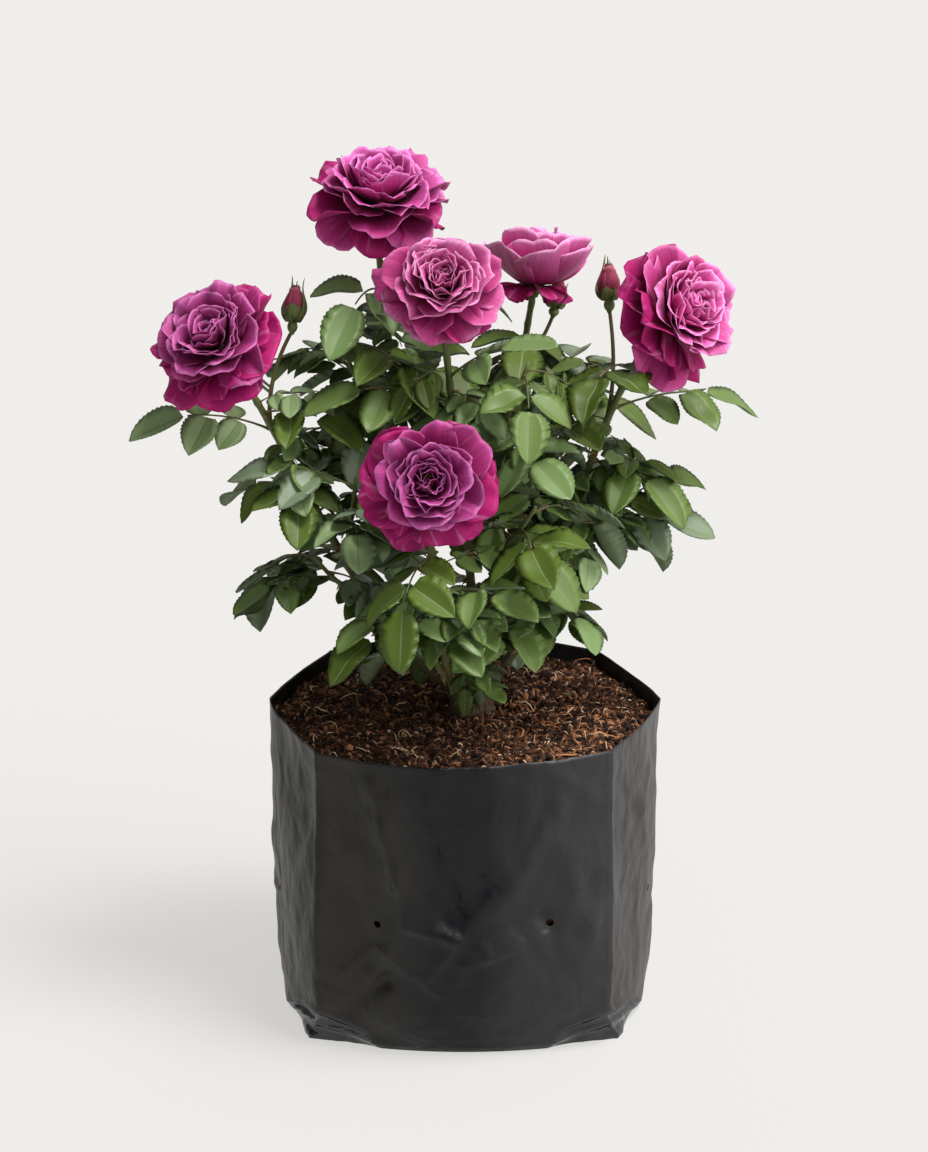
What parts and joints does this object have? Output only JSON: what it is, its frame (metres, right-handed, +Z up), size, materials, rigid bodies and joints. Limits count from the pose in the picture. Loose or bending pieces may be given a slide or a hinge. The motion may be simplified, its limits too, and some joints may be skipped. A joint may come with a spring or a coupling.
{
  "type": "potted shrub rose",
  "caption": "Bushy shrub rose with full purple blooms, buds and dark green leaves on thin canes, planted in compost in a black gusseted plastic grow bag.",
  "frame": {"origin": "the middle of the bag's flat underside, on the surface that it stands on", "axes": "+Z up, -Y towards the front of the bag, a broad face, and X across its width, towards the side folds"},
  "size_m": [0.4068, 0.2894, 0.5664],
  "materials": {
    "polythene": "soft sheen",
    "compost": "loose, fibrous, matt",
    "old_wood": "rough bark",
    "green_wood": "smooth young bark with prickles",
    "leaves": "semi-gloss above, matt below",
    "petals": "velvety, satin",
    "buds": "satin"
  },
  "bodies": {
    "root": {"grow_bag": "polythene", "soil": "compost", "woody_foot": "old_wood", "cane_left": "green_wood", "cane_top_left": "green_wood", "cane_centre": "green_wood", "cane_front": "green_wood", "cane_right": "green_wood", "cane_back": "green_wood", "bloom_left": "petals", "bloom_top_left": "petals", "bloom_centre": "petals", "bloom_front": "petals", "bloom_right": "petals", "bloom_back": "petals", "bud_left": "buds", "bud_right": "buds", "bud_back": "buds", "foliage_left": "leaves", "foliage_right": "leaves", "foliage_top_left": "leaves", "foliage_centre": "leaves", "foliage_back": "leaves", "foliage_front": "leaves", "foliage_low_left": "leaves", "foliage_low_right": "leaves", "foliage_inner_left": "leaves", "foliage_inner_right": "leaves", "foliage_far_right": "leaves", "foliage_upper_left": "leaves", "foliage_middle": "leaves", "foliage_front_left": "leaves", "foliage_front_foot": "leaves", "foliage_back_left": "leaves", "foliage_back_right": "leaves", "foliage_back_low": "leaves"}
  },
  "joints": []
}
